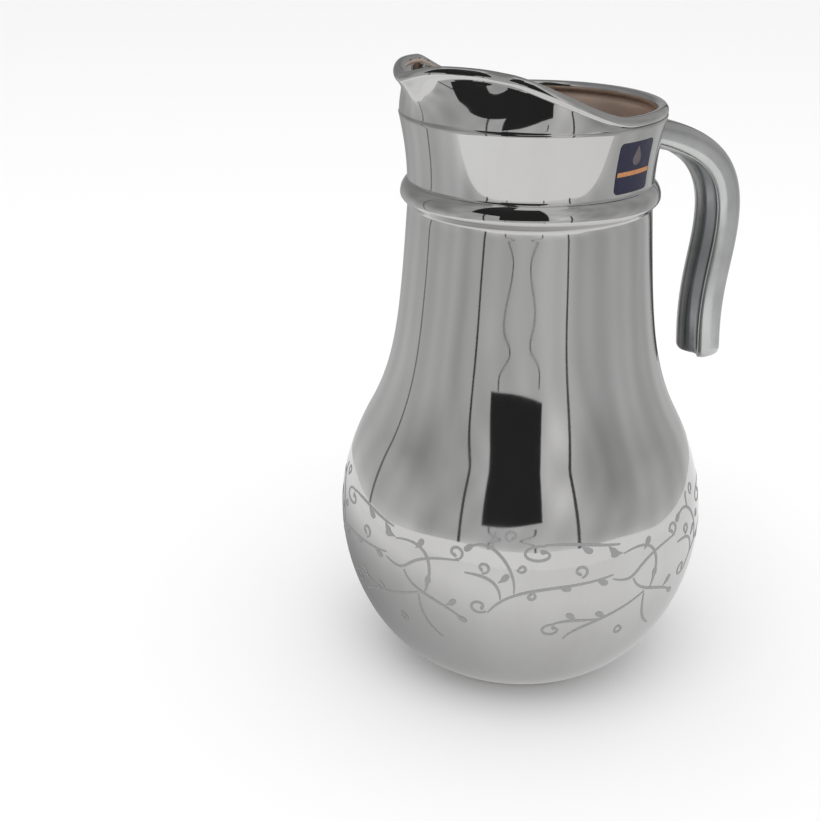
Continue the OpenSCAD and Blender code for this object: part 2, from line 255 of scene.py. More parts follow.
def lathe(name, section, material):
    """A closed ring: section(angle) gives the loop of (radius, height) at an angle from the lip."""
    angles = (np.arange(ROUND_STEPS) / ROUND_STEPS * 360.0 + 180.0) % 360.0 - 180.0
    verts = []
    for a in angles:
        loop = section(a)
        turn = math.radians(a)
        verts.append(np.stack([
            -loop[:, 0] * math.cos(turn), -loop[:, 0] * math.sin(turn), loop[:, 1]
        ], -1))
    sides = len(verts[0])
    points = np.vstack(verts) * MM
    return new_object(name, points, grid_faces(ROUND_STEPS, sides, wrap_rows=True), material)


# ---- material helpers ------------------------------------------------------------------------

class Nodes:
    """A short way to write a node material."""

    def __init__(self, name):
        self.material = bpy.data.materials.new(name)
        self.material.use_nodes = True
        self.tree = self.material.node_tree
        self.shader = self.tree.nodes["Principled BSDF"]
        self.coords = self.tree.nodes.new("ShaderNodeTexCoord").outputs["Object"]

    def set(self, **values):
        for key, value in values.items():
            self.shader.inputs[key.replace("_", " ")].default_value = value

    def noise(self, scale, detail=3.0, rough=0.5, stretch=(1.0, 1.0, 1.0)):
        mapping = self.tree.nodes.new("ShaderNodeMapping")
        mapping.inputs["Scale"].default_value = stretch
        self.tree.links.new(self.coords, mapping.inputs["Vector"])
        node = self.tree.nodes.new("ShaderNodeTexNoise")
        node.inputs["Scale"].default_value = scale
        node.inputs["Detail"].default_value = detail
        node.inputs["Roughness"].default_value = rough
        self.tree.links.new(mapping.outputs["Vector"], node.inputs["Vector"])
        return node.outputs["Fac"]

    def ramp(self, source, stops):
        node = self.tree.nodes.new("ShaderNodeValToRGB")
        ramp = node.color_ramp
        while len(ramp.elements) < len(stops):
            ramp.elements.new(0.5)
        for element, (place, colour) in zip(ramp.elements, stops):
            element.position = place
            element.color = (*colour, 1.0) if len(colour) == 3 else colour
        self.tree.links.new(source, node.inputs["Fac"])
        return node.outputs["Color"]

    def span(self, source, low, high, start=0.3, end=0.7):
        node = self.tree.nodes.new("ShaderNodeMapRange")
        for key, value in (("From Min", start), ("From Max", end), ("To Min", low), ("To Max", high)):
            node.inputs[key].default_value = value
        self.tree.links.new(source, node.inputs["Value"])
        return node.outputs["Result"]

    def axis(self, name):
        split = self.tree.nodes.new("ShaderNodeSeparateXYZ")
        self.tree.links.new(self.coords, split.inputs[0])
        return split.outputs[name]

    def math(self, operation, a, b=0.0):
        node = self.tree.nodes.new("ShaderNodeMath")
        node.operation = operation
        for i, value in enumerate((a, b)):
            if isinstance(value, float):
                node.inputs[i].default_value = value
            else:
                self.tree.links.new(value, node.inputs[i])
        return node.outputs[0]

    def facing(self, direction):
        """How far the surface faces along a fixed direction of the object."""
        node = self.tree.nodes.new("ShaderNodeVectorMath")
        node.operation = "DOT_PRODUCT"
        node.inputs[1].default_value = direction
        source = self.tree.nodes.new("ShaderNodeTexCoord").outputs["Normal"]
        self.tree.links.new(source, node.inputs[0])
        return node.outputs["Value"]

    def by_height(self, height, blend, below, above):
        """One colour below a height and another above it, blended over a short way."""
        return self.mix(self.span(self.axis("Z"), 0.0, 1.0, height - blend, height + blend), below, above)

    def mix(self, step, below, above):
        """The first colour where step is 0 and the second where it is 1."""
        mix = self.tree.nodes.new("ShaderNodeMix")
        mix.data_type = "RGBA"
        for socket, kind, source in (("Factor", "VALUE", step), ("A", "RGBA", below), ("B", "RGBA", above)):
            inputs = [i for i in mix.inputs if i.name == socket and i.type == kind]
            self.tree.links.new(source, inputs[0])
        return [o for o in mix.outputs if o.type == "RGBA"][0]

    def link(self, source, key):
        self.tree.links.new(source, self.shader.inputs[key])

    def bump(self, height, strength, distance, below=None):
        node = self.tree.nodes.new("ShaderNodeBump")
        node.inputs["Strength"].default_value = strength
        node.inputs["Distance"].default_value = distance
        self.tree.links.new(height, node.inputs["Height"])
        if below is not None:
            self.tree.links.new(below, node.inputs["Normal"])
        return node.outputs["Normal"]


def grey(value, warm=0.0):
    return (value * (1 + warm), value, value * (1 - warm))


def mirror_silver():
    """A bright silver film over blown glass: slow waves, faint smears and handling haze."""
    m = Nodes("mirror_silver")
    m.set(Metallic=1.0)
    smear = m.noise(34.0, 4.0, 0.6, (1.0, 1.0, 0.35))
    m.link(m.ramp(smear, [(0.3, grey(0.50, 0.012)), (0.7, grey(0.56, 0.006))]), "Base Color")
    m.link(m.span(smear, 0.02, 0.075), "Roughness")
    waves = m.bump(m.noise(17.0, 1.5, 0.45, (1.0, 1.0, 0.5)), 1.0, 0.0026)
    m.link(m.bump(m.noise(900.0, 2.0), 0.05, 0.00002, waves), "Normal")
    return m.material


def satin_silver():
    """The film on the strap: a fine grain, a cloudy sheen, and painted shade darkening the channel where it
    faces the jug.
    """
    m = Nodes("satin_silver")
    m.set(Metallic=1.0)
    cloud = m.noise(60.0, 4.0, 0.6)
    full = m.ramp(cloud, [(0.3, (0.49, 0.50, 0.495)), (0.7, (0.59, 0.60, 0.59))])
    # Painted shade: a darker copy of the film, put in the middle of the strap's width where it faces the
    # jug
    channel_shade = m.ramp(cloud, [(0.3, (0.22, 0.23, 0.235)), (0.7, (0.32, 0.33, 0.335))])
    across = m.math("ABSOLUTE", m.axis("Y"))
    middle = m.span(across, 1.0, 0.0, CHANNEL_HALF * MM, (CHANNEL_HALF + CHANNEL_BLEND) * MM)
    inward = m.span(m.facing((-0.8, 0.0, -0.6)), 0.0, 1.0, 0.0, 0.35)
    m.link(m.mix(m.math("MULTIPLY", middle, inward), full, channel_shade), "Base Color")
    m.link(m.span(cloud, 0.15, 0.27), "Roughness")
    grain = m.bump(m.noise(220.0, 3.0, 0.6, (1.0, 1.0, 0.2)), 0.15, 0.0002)
    m.link(m.bump(m.noise(30.0, 1.0), 0.3, 0.0008, grain), "Normal")
    return m.material


def bronze_glass():
    """Glass seen from inside, with the brown back of the film showing through it: painted light makes it
    brighter high up, painted shade darker deeper down.
    """
    m = Nodes("bronze_glass")
    m.set(Metallic=0.8, Coat_Weight=0.6, Coat_Roughness=0.22)
    tint = m.noise(26.0, 3.0, 0.5, (1.0, 1.0, 0.5))
    # Shaded and lit copies of the brown: painted shade deeper down, painted light high up
    deep = m.ramp(tint, [(0.3, (0.37, 0.295, 0.255)), (0.7, (0.48, 0.385, 0.335))])
    bright = m.ramp(tint, [(0.3, (0.72, 0.54, 0.43)), (0.7, (0.86, 0.66, 0.53))])
    m.link(m.by_height((CREASE_Z - BRIGHT_DEPTH) * MM, BRIGHT_BLEND * MM, deep, bright), "Base Color")
    m.link(m.span(tint, 0.26, 0.38), "Roughness")
    m.link(m.bump(m.noise(20.0, 2.0, 0.5, (1.0, 1.0, 0.4)), 0.3, 0.001), "Normal")
    return m.material


def strap_glass():
    """Clear glass under the film of the handle."""
    m = Nodes("strap_glass")
    m.set(IOR=1.5, Transmission_Weight=1.0)
    cord = m.noise(40.0, 2.0)
    m.link(m.ramp(cord, [(0.3, (0.80, 0.86, 0.84)), (0.7, (0.88, 0.92, 0.90))]), "Base Color")
    m.link(m.span(cord, 0.02, 0.06), "Roughness")
    m.link(m.bump(cord, 0.2, 0.0005), "Normal")
    return m.material


def etched_silver():
    """The film where it is etched: matt, slightly darker, with a fine frosted grain."""
    m = Nodes("etched_silver")
    m.set(Metallic=0.6)
    frost = m.noise(1500.0, 3.0, 0.7)
    m.link(m.ramp(frost, [(0.3, grey(0.30)), (0.7, grey(0.38))]), "Base Color")
    m.link(m.span(frost, 0.45, 0.65), "Roughness")
    m.link(m.bump(frost, 0.4, 0.00003), "Normal")
    return m.material


def label_film():
    """Navy film with a soft gloss and fingerprints."""
    m = Nodes("label_film")
    m.set(Coat_Weight=0.1, Coat_Roughness=0.18, Specular_IOR_Level=0.25)
    dots = m.noise(900.0, 2.0)
    m.link(m.ramp(dots, [(0.3, (0.010, 0.010, 0.030)), (0.7, (0.016, 0.016, 0.052))]), "Base Color")
    m.link(m.span(m.noise(160.0, 3.0), 0.30, 0.48), "Roughness")
    m.link(m.bump(m.noise(500.0, 2.0), 0.15, 0.00004), "Normal")
    return m.material


def label_ink():
    """Slightly uneven ink: copper-coloured on the bar, and a dim mauve grey above it."""
    m = Nodes("label_ink")
    m.set(Metallic=0.25)
    pull = m.noise(1200.0, 2.0)
    copper = m.ramp(pull, [(0.3, (0.46, 0.19, 0.065)), (0.7, (0.57, 0.26, 0.10))])
    dim = m.ramp(pull, [(0.3, (0.085, 0.070, 0.085)), (0.7, (0.135, 0.105, 0.115))])
    m.link(m.by_height(LABEL_Z * MM, 0.2 * MM, copper, dim), "Base Color")
    m.link(m.span(pull, 0.32, 0.5), "Roughness")
    m.link(m.bump(pull, 0.2, 0.00002), "Normal")
    return m.material


# ---- vessel ----------------------------------------------------------------------------------

WALL_STEPS = np.linspace(0.0, 0.92, 14)
LIP_STEPS = np.linspace(0.92, 0.02, 12)
RIM_TURNS = np.radians(np.linspace(-38.0, 218.0, 19))
COAT_TURNS = np.radians(np.linspace(-38.0, 150.0, 14))
LIP_TURNS = np.radians(np.linspace(152.0, 218.0, 7))
SKIN = 0.06
# Slightly thinner over the hood, to stay inside the CAD model's coarser coat
HOOD_COAT = COAT - 0.04
# How far below the crease the coat runs down inside the lip, and at which angles it fades out
LIP_COAT_DEPTH = 16.0
LIP_COAT_ANGLE = 90.0
LIP_COAT_FADE = 26.0
LIP_COAT_LEAST = 0.03
LIP_COAT_MARKS = 14


def coat_over_lip(a, grow):
    """The coat's edge inside the rim: a hair wide all round, and down the inside of the lip."""
    rim = [rim_point(a, turn, grow) for turn in LIP_TURNS]
    throat = inner_profile()[::-1]
    throat = throat[throat[:, 1] > CREASE_Z - LIP_COAT_DEPTH] - (grow, 0.0)
    path = np.vstack([rim, [hood_wall(a, t, -1, grow) for t in LIP_STEPS], throat])
    length = np.r_[0, np.cumsum(np.linalg.norm(np.diff(path, axis=0), axis=1))]
    shown = ease((LIP_COAT_ANGLE - abs(a)) / LIP_COAT_FADE)
    share = LIP_COAT_LEAST + (1 - LIP_COAT_LEAST) * shown
    marks = np.linspace(0.0, share * length[-1], LIP_COAT_MARKS)
    return np.stack([np.interp(marks, length, path[:, i]) for i in (0, 1)], -1)


def vessel_sections():
    """The loops of the coat and of the glass at each angle, sharing the fixed lower part."""
    outside = outer_profile()
    inside = inner_profile()
    coat_out = grown(outside, COAT)[1:]
    coat_in = grown(outside, SKIN)[1:]
    coat_out, coat_in = (path[path[:, 1] > 1.0] for path in (coat_out, coat_in))
    crease_edge = np.array([(CREASE_R + 0.12, CREASE_Z + 0.20), (CREASE_R - 0.05, CREASE_Z + 0.30)])

    def coat_upper(a, grow):
        walls = [hood_wall(a, t, 1, grow) for t in WALL_STEPS[1:]]
        rim = [rim_point(a, turn, grow) for turn in COAT_TURNS]
        return np.vstack([walls, rim, coat_over_lip(a, grow)])

    def coat(a):
        upper, under = coat_upper(a, HOOD_COAT), coat_upper(a, SKIN)[::-1]
        return np.vstack([coat_out, crease_edge, upper, under,
                          [(CREASE_R - 0.2, CREASE_Z + 0.1)], coat_in[::-1]])

    def glass(a):
        walls = [hood_wall(a, t, 1) for t in WALL_STEPS]
        rim = [rim_point(a, turn) for turn in RIM_TURNS]
        walls_back = [hood_wall(a, t, -1) for t in WALL_STEPS[::-1]]
        return np.vstack([outside, walls, rim, walls_back, inside[:0:-1]])

    return coat, glass


def make_vessel():
    coat_section, glass_section = vessel_sections()
    coat = lathe("vessel_coat", coat_section, mirror_silver())
    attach(coat, "root")
    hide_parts("vessel_silver_coat")

    glass = lathe("vessel_blown_glass", glass_section, bronze_glass())
    close_floor(glass)
    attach(glass, "root")
    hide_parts("vessel_glass")


def close_floor(glass):
    """Replaces the strip between the foot's edge and the middle of the floor by two discs."""
    mesh = glass.data
    sides = len(mesh.vertices) // ROUND_STEPS
    points = [v.co.copy() for v in mesh.vertices]
    faces = grid_faces(ROUND_STEPS, sides, wrap_rows=True, wrap_columns=False)
    top, bottom = len(points), len(points) + 1
    points += [Vector((0.0, 0.0, FLOOR * MM)), Vector((0.0, 0.0, 0.0))]
    for i in range(ROUND_STEPS):
        n = (i + 1) % ROUND_STEPS
        faces.append([i * sides, bottom, n * sides])
        faces.append([i * sides + sides - 1, n * sides + sides - 1, top])
    mesh.clear_geometry()
    mesh.from_pydata([tuple(p) for p in points], [], faces)
    mesh.update()
    mesh.shade_smooth()


# ---- handle ----------------------------------------------------------------------------------

STRAP_SIDES = 96
STRAP_HALF = 46
STRAP_COAT = COAT - 0.01
STRAP_INSET = 0.05
# Places along the strap, as shares of its length from the root
GRIP_SHARE = 0.455
TIP_SHARE = 0.897
THICK_SHARE = 0.4
ROOT_FLARE_SHARE = 0.08
# How much each side is wider at the root
ROOT_FLARE = 2.0
# How deep in the collar's wall the first ring ends
ROOT_DEPTH = 1.2
# Below 1, this squares the section's corners
CORNER_POWER = 0.75
END_SHARE = 0.1
END_LEAST = 0.35
END_POWER = 2.4


def strap_line():
    """Middle line of the strap, as (distance from the axis, height), and its share of the length."""
    root = np.array((COLLAR_R - 2, CREASE_Z - 10))
    grip = np.array((GRIP_R, CREASE_Z - 50))
    tip = np.array((GRIP_R - 4.3, FREE_END_Z + END_LENGTH))
    marks = 1 - (1 - np.linspace(0.0, 1.0, 20)) ** 2
    end = tip + np.outer(marks, (0.2, -END_LENGTH))
    line = np.vstack([
        curve(root, root + (36, -7), grip + (0, 22), grip, STRAP_HALF),
        curve(grip, grip - (0, 17), tip + (-2.2, 26), tip, STRAP_HALF),
        end,
    ])
    half = np.arange(STRAP_HALF) / STRAP_HALF
    end_share = np.interp(marks, [0.0, 0.3, 0.6, 0.85, 1.0], [TIP_SHARE, 0.909, 0.939, 0.970, 1.0])
    share = np.r_[GRIP_SHARE * half, GRIP_SHARE + (TIP_SHARE - GRIP_SHARE) * half, end_share]
    return line, share


def strap_points(grow):
    """Rings of points round the strap, from its root to its free end."""
    line, share = strap_line()
    along = np.gradient(line, axis=0)
    along /= np.linalg.norm(along, axis=1)[:, None]
    turns = np.arange(STRAP_SIDES) / STRAP_SIDES * 2 * math.pi
    c, d = np.cos(turns), np.sin(turns)
    rings = []
    for centre, s, (dr, dz) in zip(line, share, along):
        end = np.clip((s - 1 + END_SHARE) / END_SHARE, 0, 1)
        fade = max(END_LEAST, (1 - end ** END_POWER) ** (1 / END_POWER))
        half_w = (STRAP_W / 2 + ROOT_FLARE * bell(s, ROOT_FLARE_SHARE)) * fade + grow
        half_t = (STRAP_ROOT + (STRAP_T - STRAP_ROOT) * ease(s / THICK_SHARE)) / 2 * fade + grow
        across = half_w * np.sign(c) * np.abs(c) ** CORNER_POWER
        inward = half_t * np.sign(d) * np.abs(d) ** CORNER_POWER
        depth = CHANNEL * fade * ease((s - CHANNEL_START) / CHANNEL_RISE)
        inward = inward - np.where(d > 0, depth * plateau(across / half_w, CHANNEL_WIDE), 0.0)
        rings.append(np.stack([centre[0] + dz * inward, across, centre[1] - dr * inward], -1))
    return [root_ring(rings[2])] + rings[2:]


def root_ring(ring):
    """The strap's first ring, moved back so that it ends inside the collar's wall all round."""
    profile = outer_profile()
    wall = np.interp(ring[:, 2], profile[:, 1], profile[:, 0]) - ROOT_DEPTH
    return np.stack([np.sqrt(wall ** 2 - ring[:, 1] ** 2), ring[:, 1], ring[:, 2]], -1)


def tube(name, rings, material):
    """A closed tube through rings of points, with a fan over each end."""
    sides = len(rings[0])
    points = np.vstack(rings)
    faces = grid_faces(len(rings), sides, flip=True)
    first, last = len(points), len(points) + 1
    points = np.vstack([points, rings[0].mean(0), rings[-1].mean(0)])
    base = (len(rings) - 1) * sides
    for j in range(sides):
        k = (j + 1) % sides
        faces.append([j, first, k])
        faces.append([base + k, last, base + j])
    return new_object(name, points * MM, faces, material)


def make_handle():
    core = tube("handle_glass_core", strap_points(-STRAP_INSET), strap_glass())
    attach(core, "root")
    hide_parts("handle_glass")
    coat = tube("handle_coat", strap_points(STRAP_COAT), satin_silver())
    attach(coat, "root")
    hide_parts("handle_silver_coat")


# ---- vines -----------------------------------------------------------------------------------

SPRAYS = 5
SPRAY_SPAN = 2 * math.pi * BULB_R / SPRAYS
SPRAY_START = 5.4
STEM_W = 1.2
VINE_LOW = 0.01
VINE_TOP = 0.07
# Each stroke's top lies this much above the last one's
STROKE_STEP = 0.0006
CURL_CLOSE = 0.74
CURL_POWER = 1.6
LEAF_LENGTH = 5.2
LEAF_W = 2.1 * STEM_W
LEAF_FOOT_W = 0.4
LEAF_BEND = 0.52
LEAF_STEPS = 20
# The strokes below are drawn for a spray of this width
DRAWN_SPAN = 90.0


def on_bulb(points, lift):
    """Points from distances round the bulb and heights, lifted off the silver coat."""
    table = grown(outer_profile(), COAT)
    radius = np.interp(points[:, 1], table[:, 1], table[:, 0]) + lift
    turn = points[:, 0] / BULB_R
    return np.stack([radius * np.cos(turn), radius * np.sin(turn), points[:, 1]], -1)


def ribbon(path, widths, lift):
    """A narrow closed strip along a path on the bulb: returns its points and faces."""
    low, high = VINE_LOW, VINE_TOP + lift
    along = np.gradient(path, axis=0)
    along /= np.linalg.norm(along, axis=1)[:, None]
    side = np.stack([-along[:, 1], along[:, 0]], -1) * widths[:, None] / 2
    corners = [on_bulb(path - side, low), on_bulb(path + side, low),
               on_bulb(path + side, high), on_bulb(path - side, high)]
    points = np.stack(corners, 1).reshape(-1, 3)
    faces = grid_faces(len(path), 4, flip=True)
    base = 4 * (len(path) - 1)
    faces += [[0, 1, 2, 3], [base + 3, base + 2, base + 1, base]]
    return points, faces


def stem(a, b, c, d):
    """A stem that thins towards both its ends."""
    path = np.vstack([curve(a, b, c, d, 40), [d]])
    t = np.linspace(0, 1, len(path))
    return path, STEM_W * (0.5 + 0.5 * np.sin(math.pi * t) ** 0.7)


def curl(middle, size, start, turns, stretch):
    """A curl that winds in to a bud; turns is negative for clockwise, stretch makes it wider."""
    t = np.linspace(0, 1, 64)
    angle = math.radians(start) + 2 * math.pi * turns * t
    ring = np.stack([stretch * np.cos(angle), np.sin(angle)], -1)
    path = np.array(middle) + size * (1 - CURL_CLOSE * t ** CURL_POWER)[:, None] * ring
    bud = 0.8 * ease((t - 0.82) / 0.12) * ease((1.02 - t) / 0.06)
    return path, STEM_W * (0.66 + 0.25 * np.sin(math.pi * t) + bud)


def leaf(foot, turn):
    """A teardrop leaf that bends a little to the left."""
    t = np.linspace(0, 1, LEAF_STEPS)
    angle = math.radians(turn) + LEAF_BEND * t
    step = np.stack([np.cos(angle), np.sin(angle)], -1) * LEAF_LENGTH / (LEAF_STEPS - 1)
    path = np.array(foot) + np.cumsum(step, axis=0)
    swell = ease(t / 0.65) * np.sqrt(np.clip(1 - t ** 6, 0, 1))
    return path, LEAF_FOOT_W + (LEAF_W - LEAF_FOOT_W) * swell


STEMS = [
    ((9.4, 51.2), (18, 65.5), (36, 61.5), (56, 65)),
    ((56, 63.2), (70, 57.5), (62, 69.5), (88.4, 71.2)),
    ((60.6, 72.4), (79.5, 77.6), (78.2, 62), (74.2, 53.8)),
    ((65.2, 61.2), (68.5, 52.5), (80, 54.5), (91, 45.5)),
    ((38.4, 38.9), (41, 45), (57, 46), (71.6, 53.6)),
    ((51.5, 46.4), (44, 47.1), (39, 48.6), (33.6, 46.8)),
    ((71.6, 52.6), (71.8, 43), (75, 38), (80.4, 34.7)),
    ((59, 76.4), (50, 77.2), (42, 80), (29.6, 79.4)),
    ((1.5, 76.4), (9.5, 83.5), (20, 71), (18.8, 60.6)),
    ((11.6, 83.4), (10.0, 82), (10.4, 80.6), (10.6, 77.6)),
    ((0.6, 67), (7, 67), (13.6, 66.2), (14, 57.6)),
]
CURLS = [
    ((6.2, 53.6), 2.8, -40, -1.05, 1.2), ((86.8, 74.0), 2.6, -92, 1.05, 1.1),
    ((33.4, 43.9), 2.7, 74, 1.05, 1.5), ((28, 76), 3.1, 72, 1.05, 2.0),
    ((62.7, 38.4), 2.1, 100, 1.0, 1.0), ((17.4, 82.4), 2.0, -100, -1.0, 1.2),
    ((7.4, 69.8), 2.1, -100, 1.0, 1.1), ((43, 68.4), 2.4, -80, 1.0, 1.1),
    ((21.4, 70.6), 1.5, 190, 1.0, 1.1), ((25, 59.4), 1.5, 80, -1.0, 1.1),
]
LEAVES = [
    ((83, 51.2), 25), ((42.5, 47.4), 125), ((54.5, 46.4), 130), ((43, 78.3), -45), ((54, 76.9), -60),
    ((34.4, 63.4), -30), ((87, 48.6), -50), ((4.6, 78.4), 200), ((60.4, 72.6), 165),
    ((12.8, 64.4), 30), ((74.8, 56.8), 60), ((70, 71.4), 40), ((49, 64.4), -40),
]


def spray(x0):
    """One spray: stems, curls and leaves, as distances round the bulb and heights."""
    def at(point):
        return (x0 + point[0] * SPRAY_SPAN / DRAWN_SPAN, point[1])

    strokes = [stem(*(at(point) for point in points)) for points in STEMS]
    strokes += [curl(at(middle), *rest) for middle, *rest in CURLS]
    strokes += [leaf(at(foot), turn) for foot, turn in LEAVES]
    return strokes


def make_vines():
    """All sprays as one piece. Each stroke lies a hair above the last, so none share a surface."""
    points, faces, count = [], [], 0
    for i in range(SPRAYS):
        for n, (path, widths) in enumerate(spray(SPRAY_START + i * SPRAY_SPAN)):
            p, f = ribbon(path, widths, STROKE_STEP * n)
            points.append(p)
            faces += [[q + count for q in face] for face in f]
            count += len(p)
    vines = new_object("vine_scrolls", np.vstack(points) * MM, faces, etched_silver(), False)
    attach(vines, "root")
    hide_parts("vine_etching")


# ---- label -----------------------------------------------------------------------------------

LABEL_TURN = math.radians(-73.5)
LABEL_W = 18.5
LABEL_H = 18.0
LABEL_Z = (COLLAR_Z + CREASE_Z) / 2 - 1.3
LABEL_CORNER = 1.6
BAR_H = 1.6
BAR_DROP = 2.0
DROP_R = 2.3
DROP_LIFT = 2.9
STICKER = 0.15
INK = 0.06
CORNER_STEPS = 8
PATCH_SIDES = 96


def on_collar(x, z, lift):
    """A point of the label: x along the collar and z up from the label's middle."""
    table = grown(outer_profile(), COAT)
    r = np.interp(LABEL_Z + z, table[:, 1], table[:, 0])
    turn = LABEL_TURN + math.asin(x / r)
    r += lift
    return (r * math.cos(turn), r * math.sin(turn), LABEL_Z + z)


def rounded(w, h, r):
    """Outline of a rectangle with rounded corners, anticlockwise."""
    out = []
    for corner in range(4):
        sx, sz = ((1, 1), (-1, 1), (-1, -1), (1, -1))[corner]
        for step in range(CORNER_STEPS + 1):
            turn = math.pi / 2 * (corner + step / CORNER_STEPS)
            out.append((sx * (w / 2 - r) + r * math.cos(turn), sz * (h / 2 - r) + r * math.sin(turn)))
    return out


def resampled(outline, count):
    """The same closed outline with evenly spaced points, so that it can follow the curve."""
    loop = np.array(outline + [outline[0]])
    length = np.r_[0, np.cumsum(np.linalg.norm(np.diff(loop, axis=0), axis=1))]
    marks = np.linspace(0, length[-1], count, endpoint=False)
    return np.stack([np.interp(marks, length, loop[:, i]) for i in (0, 1)], -1)


def patch(outline, low, high, rings=10):
    """A closed curved patch inside an outline round its own middle: points and faces."""
    outline = resampled(outline, PATCH_SIDES)
    middle = outline.mean(0)
    points, faces = [], []
    for lift in (high, low):
        for k in range(rings):
            share = 1 - k / rings
            points += [on_collar(*(middle + (p - middle) * share), lift) for p in outline]
        points.append(on_collar(*middle, lift))
    n, half = PATCH_SIDES, rings * PATCH_SIDES + 1
    for top, flip in ((0, False), (half, True)):
        faces += grid_faces(rings, n, top, flip=flip)
        for j in range(n):
            tri = [top + (rings - 1) * n + j, top + (rings - 1) * n + (j + 1) % n, top + rings * n]
            faces.append(tri[::-1] if flip else tri)
    for j in range(n):
        k = (j + 1) % n
        faces.append([j, half + j, half + k, k])
    return points, faces


def moved(outline, rise):
    return [(x, z + rise) for x, z in outline]


def drop(size):
    """Outline of a plain drop, point up, anticlockwise."""
    arc = [math.radians(t) for t in range(-210, 31, 12)]
    return [(size * math.cos(t), size * math.sin(t)) for t in arc] + [(0.0, 2.1 * size)]


def make_label():
    points, faces = patch(rounded(LABEL_W, LABEL_H, LABEL_CORNER), 0.0, STICKER)
    sticker = new_object("label_film_patch", np.array(points) * MM, faces, label_film(), False)
    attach(sticker, "root")
    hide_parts("label_sticker")

    low, high = STICKER, STICKER + INK
    marks = [
        patch(moved(rounded(LABEL_W - 1, BAR_H, 0.2), -BAR_DROP), low, high),
        patch(moved(drop(DROP_R), DROP_LIFT), low, high, 4),
    ]
    points, faces = [], []
    for p, f in marks:
        faces += [[q + len(points) for q in face] for face in f]
        points += p
    ink = new_object("label_ink_marks", np.array(points) * MM, faces, label_ink(), False)
    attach(ink, "root")
    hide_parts("label_print")


# ---- studio ----------------------------------------------------------------------------------

def plain_material(name, colour, strength=None):
    material = bpy.data.materials.new(name)
    material.use_nodes = True
    shader = material.node_tree.nodes["Principled BSDF"]
    shader.inputs["Base Color"].default_value = (*colour, 1.0)
    shader.inputs["Roughness"].default_value = 0.9
    if strength is not None:
        shader.inputs["Base Color"].default_value = (0.0, 0.0, 0.0, 1.0)
        shader.inputs["Specular IOR Level"].default_value = 0.0
        shader.inputs["Emission Color"].default_value = (*colour, 1.0)
        shader.inputs["Emission Strength"].default_value = strength
    return material


def make_floor():
    half = 6.0
    floor = new_object(
        "floor", [(-half, -half, 0), (half, -half, 0), (half, half, 0), (-half, half, 0)],
        [[0, 1, 2, 3]], plain_material("pale_floor", grey(0.90)), False)


ROOM_R = 0.60
ROOM_SIDE_R = 0.34
ROOM_BACK_R = 0.18
ROOM_LOW = 0.018
ROOM_TOP = 1.3
CARD_GAP = 0.01
CEILING_R = 0.62
CEILING_SHADE = 0.72
# Angle, width and brightness of each frame
FRAMES = [(-104.0, 1.6, 0.20), (-41.5, 1.7, 0.07), (28.6, 1.6, 0.08), (145.0, 3.0, 0.10)]
FRAME_TOP = 0.40
# Angles of the doorway's edges and heights of its lower corners
DOORWAY = (-27.0, 11.0)
DOORWAY_LOW = (0.14, 0.17)
DOORWAY_SHADE = 0.028
# A dark card beside the doorway, closer to the jug
SIDE_CARD = (-50.0, -20.0)
SIDE_CARD_LOW = (0.265, 0.238)
SIDE_CARD_TOP = 1.25
SIDE_CARD_R = 0.22
# Angle and sway of each thread
THREADS = ((-23.0, 8.0), (7.5, -8.0))
THREAD_WIDTH = 0.9
THREAD_SHADE = 0.10
THREAD_SWAY_Z = 0.083
THREAD_SWAY_H = 0.016
TABLE_RADII = (0.039, 0.30)
TABLE_Z = 0.0004
# The painted table shadow is darkest around a point behind the jug
TABLE_DARK_TURN = math.radians(140.0)
TABLE_DARK_R = 0.07
# The fixed direction that the room is laid out from, and the angles above are measured from
TOWARD_CAMERA = math.radians(-119.0)
# Brightness of the room's wall at angles from that direction, chosen one by one
ROOM_ANGLES = (-180, -140, -112, -90, -68, -56, -38, -20, 4, 16, 28, 40, 55, 74, 96, 125, 150, 180)
ROOM_SHADES = (.46, .54, .65, .58, .65, .52, .58, .64, .62, .72, .70, .54, .52, .62, .54, .60, .48, .44)


def room_radius(turn):
    """The wall stands closer at the jug's sides than in front of it, and closest behind it."""
    side = (ROOM_SIDE_R - ROOM_R) * ease((np.abs(turn) - 35.0) / 50.0)
    back = (ROOM_BACK_R - ROOM_SIDE_R) * ease((np.abs(turn) - 118.0) / 42.0)
    return ROOM_R + side + back


def room_shade(turn, z):
    """A softly uneven wall: painted shade higher up at both sides, painted light along the table, and one
    painted bright spot.
    """
    side = ease((np.abs(turn + 8.0) - 42.0) / 28.0)
    left = ease((-turn - 40.0) / 30.0)
    # Painted shade: darker higher up at both sides, more on the left
    painted_side_shade = 1.0 - (0.24 + 0.20 * left) * side * ease((z - 0.10) / 0.14)
    drift = 1.0 + 0.05 * np.sin(turn / 7.0 + 14.0 * z) + 0.04 * np.sin(turn / 3.1 - 23.0 * z)
    # Painted light: lighter along the table
    painted_table_light = 1.0 + 0.30 * ease((0.065 - z) / 0.045)
    # Painted highlight: one bright spot on the wall, shown as a glint in the silver
    painted_glow_spot = 0.18 * bell(turn - 21.0, 8.0) * bell(z - 0.27, 0.10)
    return np.interp(turn, ROOM_ANGLES, ROOM_SHADES) * painted_side_shade * drift * painted_table_light + painted_glow_spot


def mirror_only(obj):
    """Only reflections see a card; the camera, shadows and soft light do not."""
    obj.visible_camera = False
    obj.visible_diffuse = False
    obj.visible_shadow = False
    obj.visible_transmission = False


